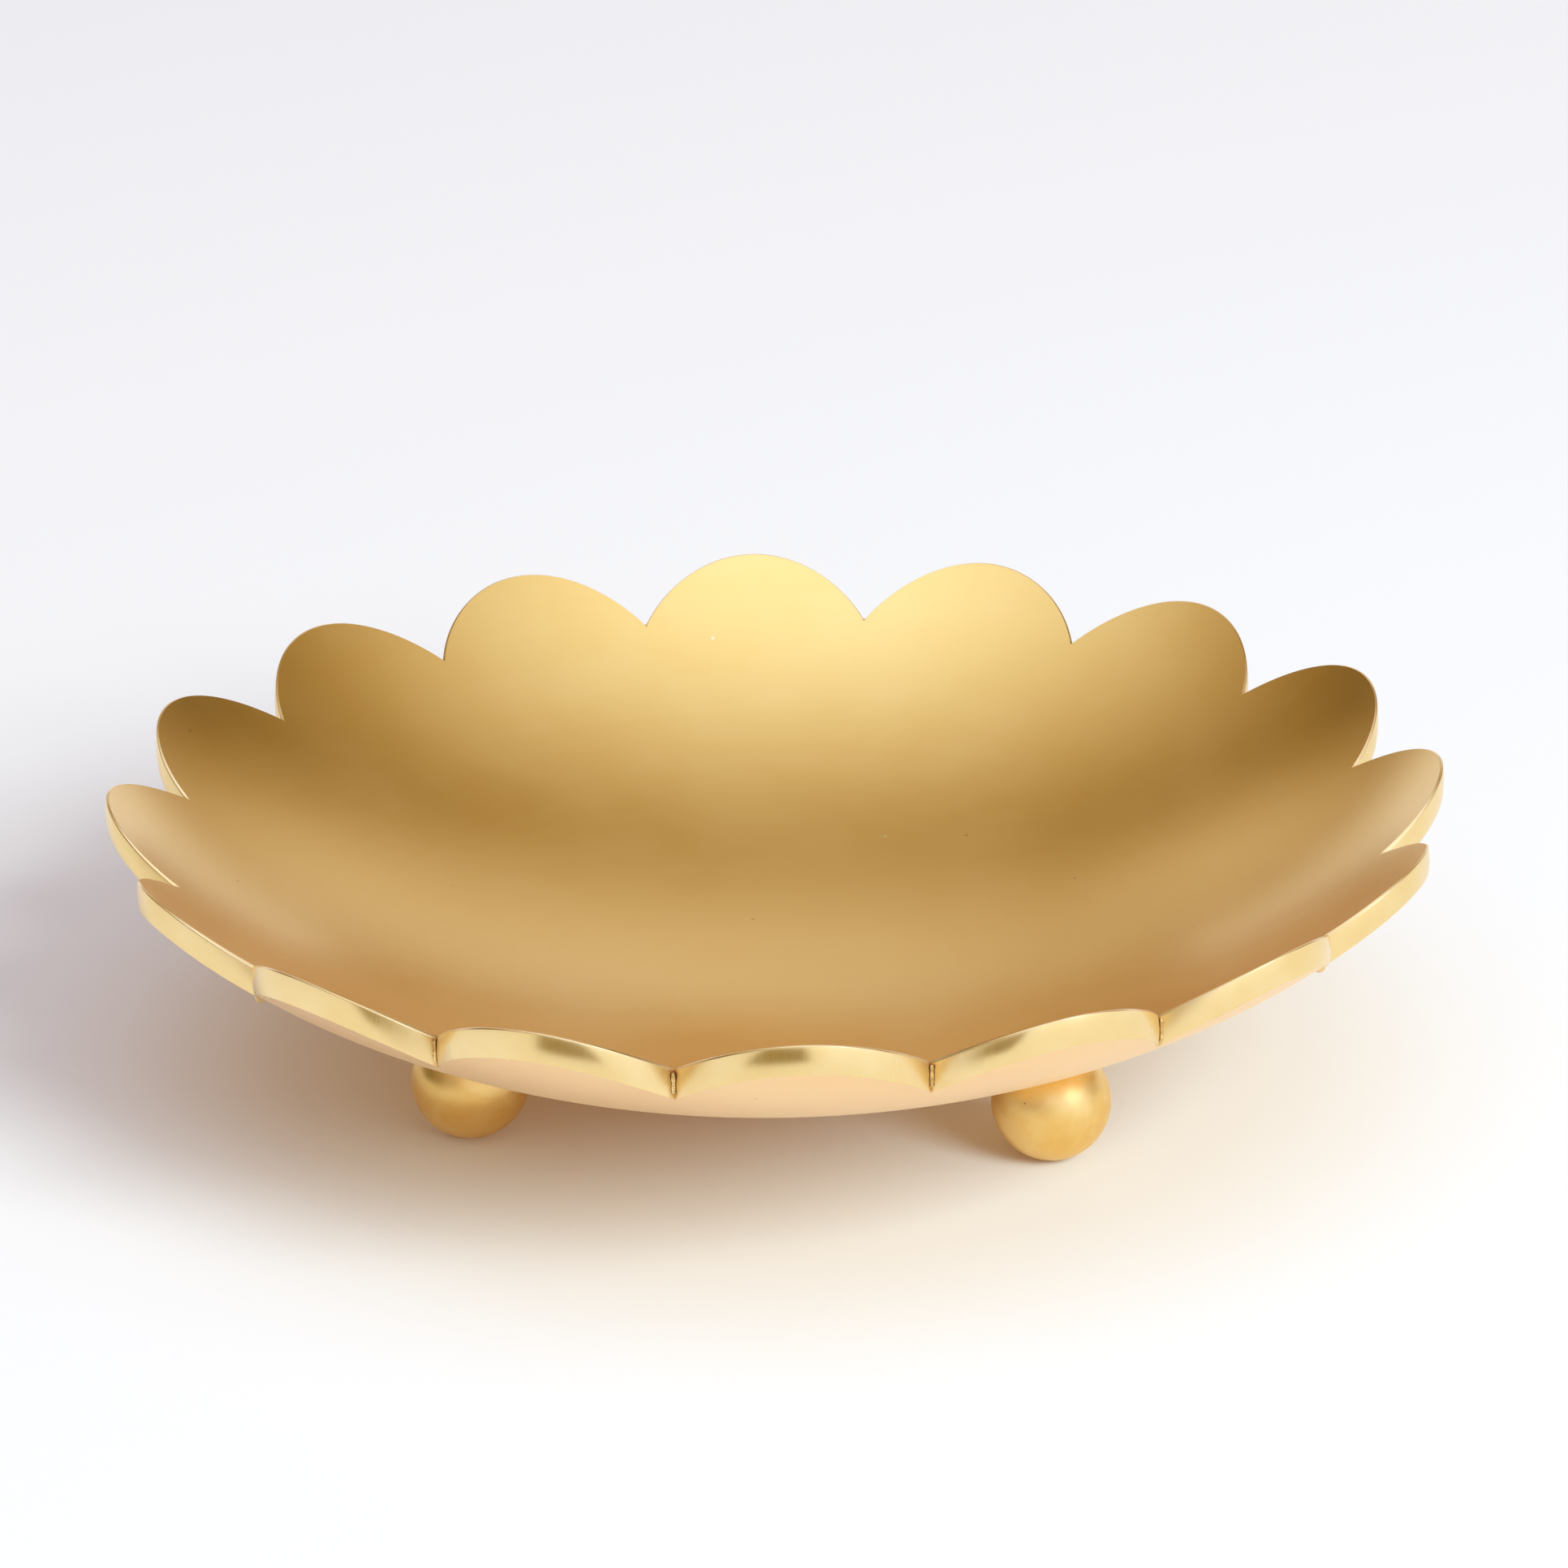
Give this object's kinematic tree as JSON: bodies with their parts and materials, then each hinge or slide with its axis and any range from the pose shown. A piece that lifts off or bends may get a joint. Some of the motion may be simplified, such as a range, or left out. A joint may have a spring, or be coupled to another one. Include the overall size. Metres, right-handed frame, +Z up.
{
  "type": "footed bowl",
  "caption": "Shallow round double-walled brass bowl with a scalloped petal rim, closed by bent rim strips and standing on ball feet.",
  "frame": {"origin": "on the bowl's vertical axis, at the level of the floor under the ball feet", "axes": "+Z is up along the bowl's axis, and one notch between two petals points along -Y"},
  "size_m": [0.2758, 0.2758, 0.068],
  "materials": {
    "dish_brass": "satin brushed",
    "rim_brass": "polished",
    "foot_brass": "hand brushed",
    "solder": "dull, stained",
    "screw_brass": "turned"
  },
  "bodies": {
    "root": {"inner_dish": "dish_brass", "outer_dish": "dish_brass", "rim_strip_01": "rim_brass", "rim_strip_02": "rim_brass", "rim_strip_03": "rim_brass", "rim_strip_04": "rim_brass", "rim_strip_05": "rim_brass", "rim_strip_06": "rim_brass", "rim_strip_07": "rim_brass", "rim_strip_08": "rim_brass", "rim_strip_09": "rim_brass", "rim_strip_10": "rim_brass", "rim_strip_11": "rim_brass", "rim_strip_12": "rim_brass", "rim_strip_13": "rim_brass", "rim_strip_14": "rim_brass", "rim_strip_15": "rim_brass", "rim_strip_16": "rim_brass", "notch_solder_01": "solder", "notch_solder_02": "solder", "notch_solder_03": "solder", "notch_solder_04": "solder", "notch_solder_05": "solder", "notch_solder_06": "solder", "notch_solder_07": "solder", "notch_solder_08": "solder", "notch_solder_09": "solder", "notch_solder_10": "solder", "notch_solder_11": "solder", "notch_solder_12": "solder", "notch_solder_13": "solder", "notch_solder_14": "solder", "notch_solder_15": "solder", "notch_solder_16": "solder", "foot_ball_1": "foot_brass", "foot_ball_2": "foot_brass", "foot_ball_3": "foot_brass", "foot_solder_1": "solder", "foot_solder_2": "solder", "foot_solder_3": "solder", "foot_screw_1": "screw_brass", "foot_screw_2": "screw_brass", "foot_screw_3": "screw_brass"}
  },
  "joints": []
}
